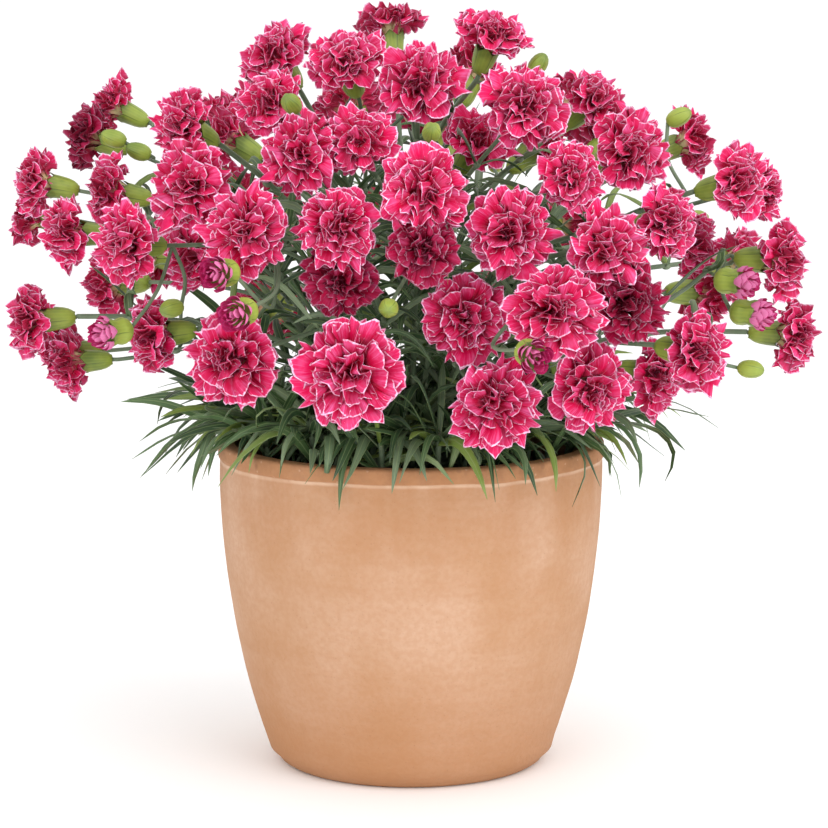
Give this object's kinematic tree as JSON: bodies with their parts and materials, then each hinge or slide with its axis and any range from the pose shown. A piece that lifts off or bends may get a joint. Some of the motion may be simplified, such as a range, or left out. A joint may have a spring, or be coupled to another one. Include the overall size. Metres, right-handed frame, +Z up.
{
  "type": "potted dianthus plant",
  "caption": "Bushy double-flowered dianthus in full bloom, growing in a round terracotta pot with a plain lip.",
  "frame": {"origin": "middle of the pot's flat foot, on the surface it stands on", "axes": "+Z up along the pot's axis, -Y towards the side that the picture shows"},
  "size_m": [0.5133, 0.4906, 0.4889],
  "materials": {
    "terracotta": "unglazed fired clay, matt, light orange-tan with bands and drip marks",
    "soil": "dark crumbly potting soil",
    "foliage": "blue-green, slightly waxy leaves and stems, yellower calyces",
    "petals": "soft magenta-crimson petals with a fine white toothed edge"
  },
  "bodies": {
    "root": {"pot": "terracotta", "soil": "soil", "plant": "foliage", "bloom_01": "petals", "bloom_02": "petals", "bloom_03": "petals", "bloom_04": "petals", "bloom_05": "petals", "bloom_06": "petals", "bloom_07": "petals", "bloom_08": "petals", "bloom_09": "petals", "bloom_10": "petals", "bloom_11": "petals", "bloom_12": "petals", "bloom_13": "petals", "bloom_14": "petals", "bloom_15": "petals", "bloom_16": "petals", "bloom_17": "petals", "bloom_18": "petals", "bloom_19": "petals", "bloom_20": "petals", "bloom_21": "petals", "bloom_22": "petals", "bloom_23": "petals", "bloom_24": "petals", "bloom_25": "petals", "bloom_26": "petals", "bloom_27": "petals", "bloom_28": "petals", "bloom_29": "petals", "bloom_30": "petals", "bloom_31": "petals", "bloom_32": "petals", "bloom_33": "petals", "bloom_34": "petals", "bloom_35": "petals", "bloom_36": "petals", "bloom_37": "petals", "bloom_38": "petals", "bloom_39": "petals", "bloom_40": "petals", "bloom_41": "petals", "bloom_42": "petals", "bloom_pair_01": "petals", "bloom_pair_02": "petals", "bloom_pair_03": "petals", "bloom_pair_04": "petals", "bloom_pair_05": "petals", "bloom_pair_06": "petals", "bloom_pair_07": "petals", "bloom_pair_08": "petals", "bloom_pair_09": "petals", "bloom_pair_10": "petals", "bloom_pair_11": "petals", "bloom_pair_12": "petals", "bloom_pair_13": "petals", "bloom_pair_14": "petals", "bloom_pair_15": "petals"}
  },
  "joints": []
}
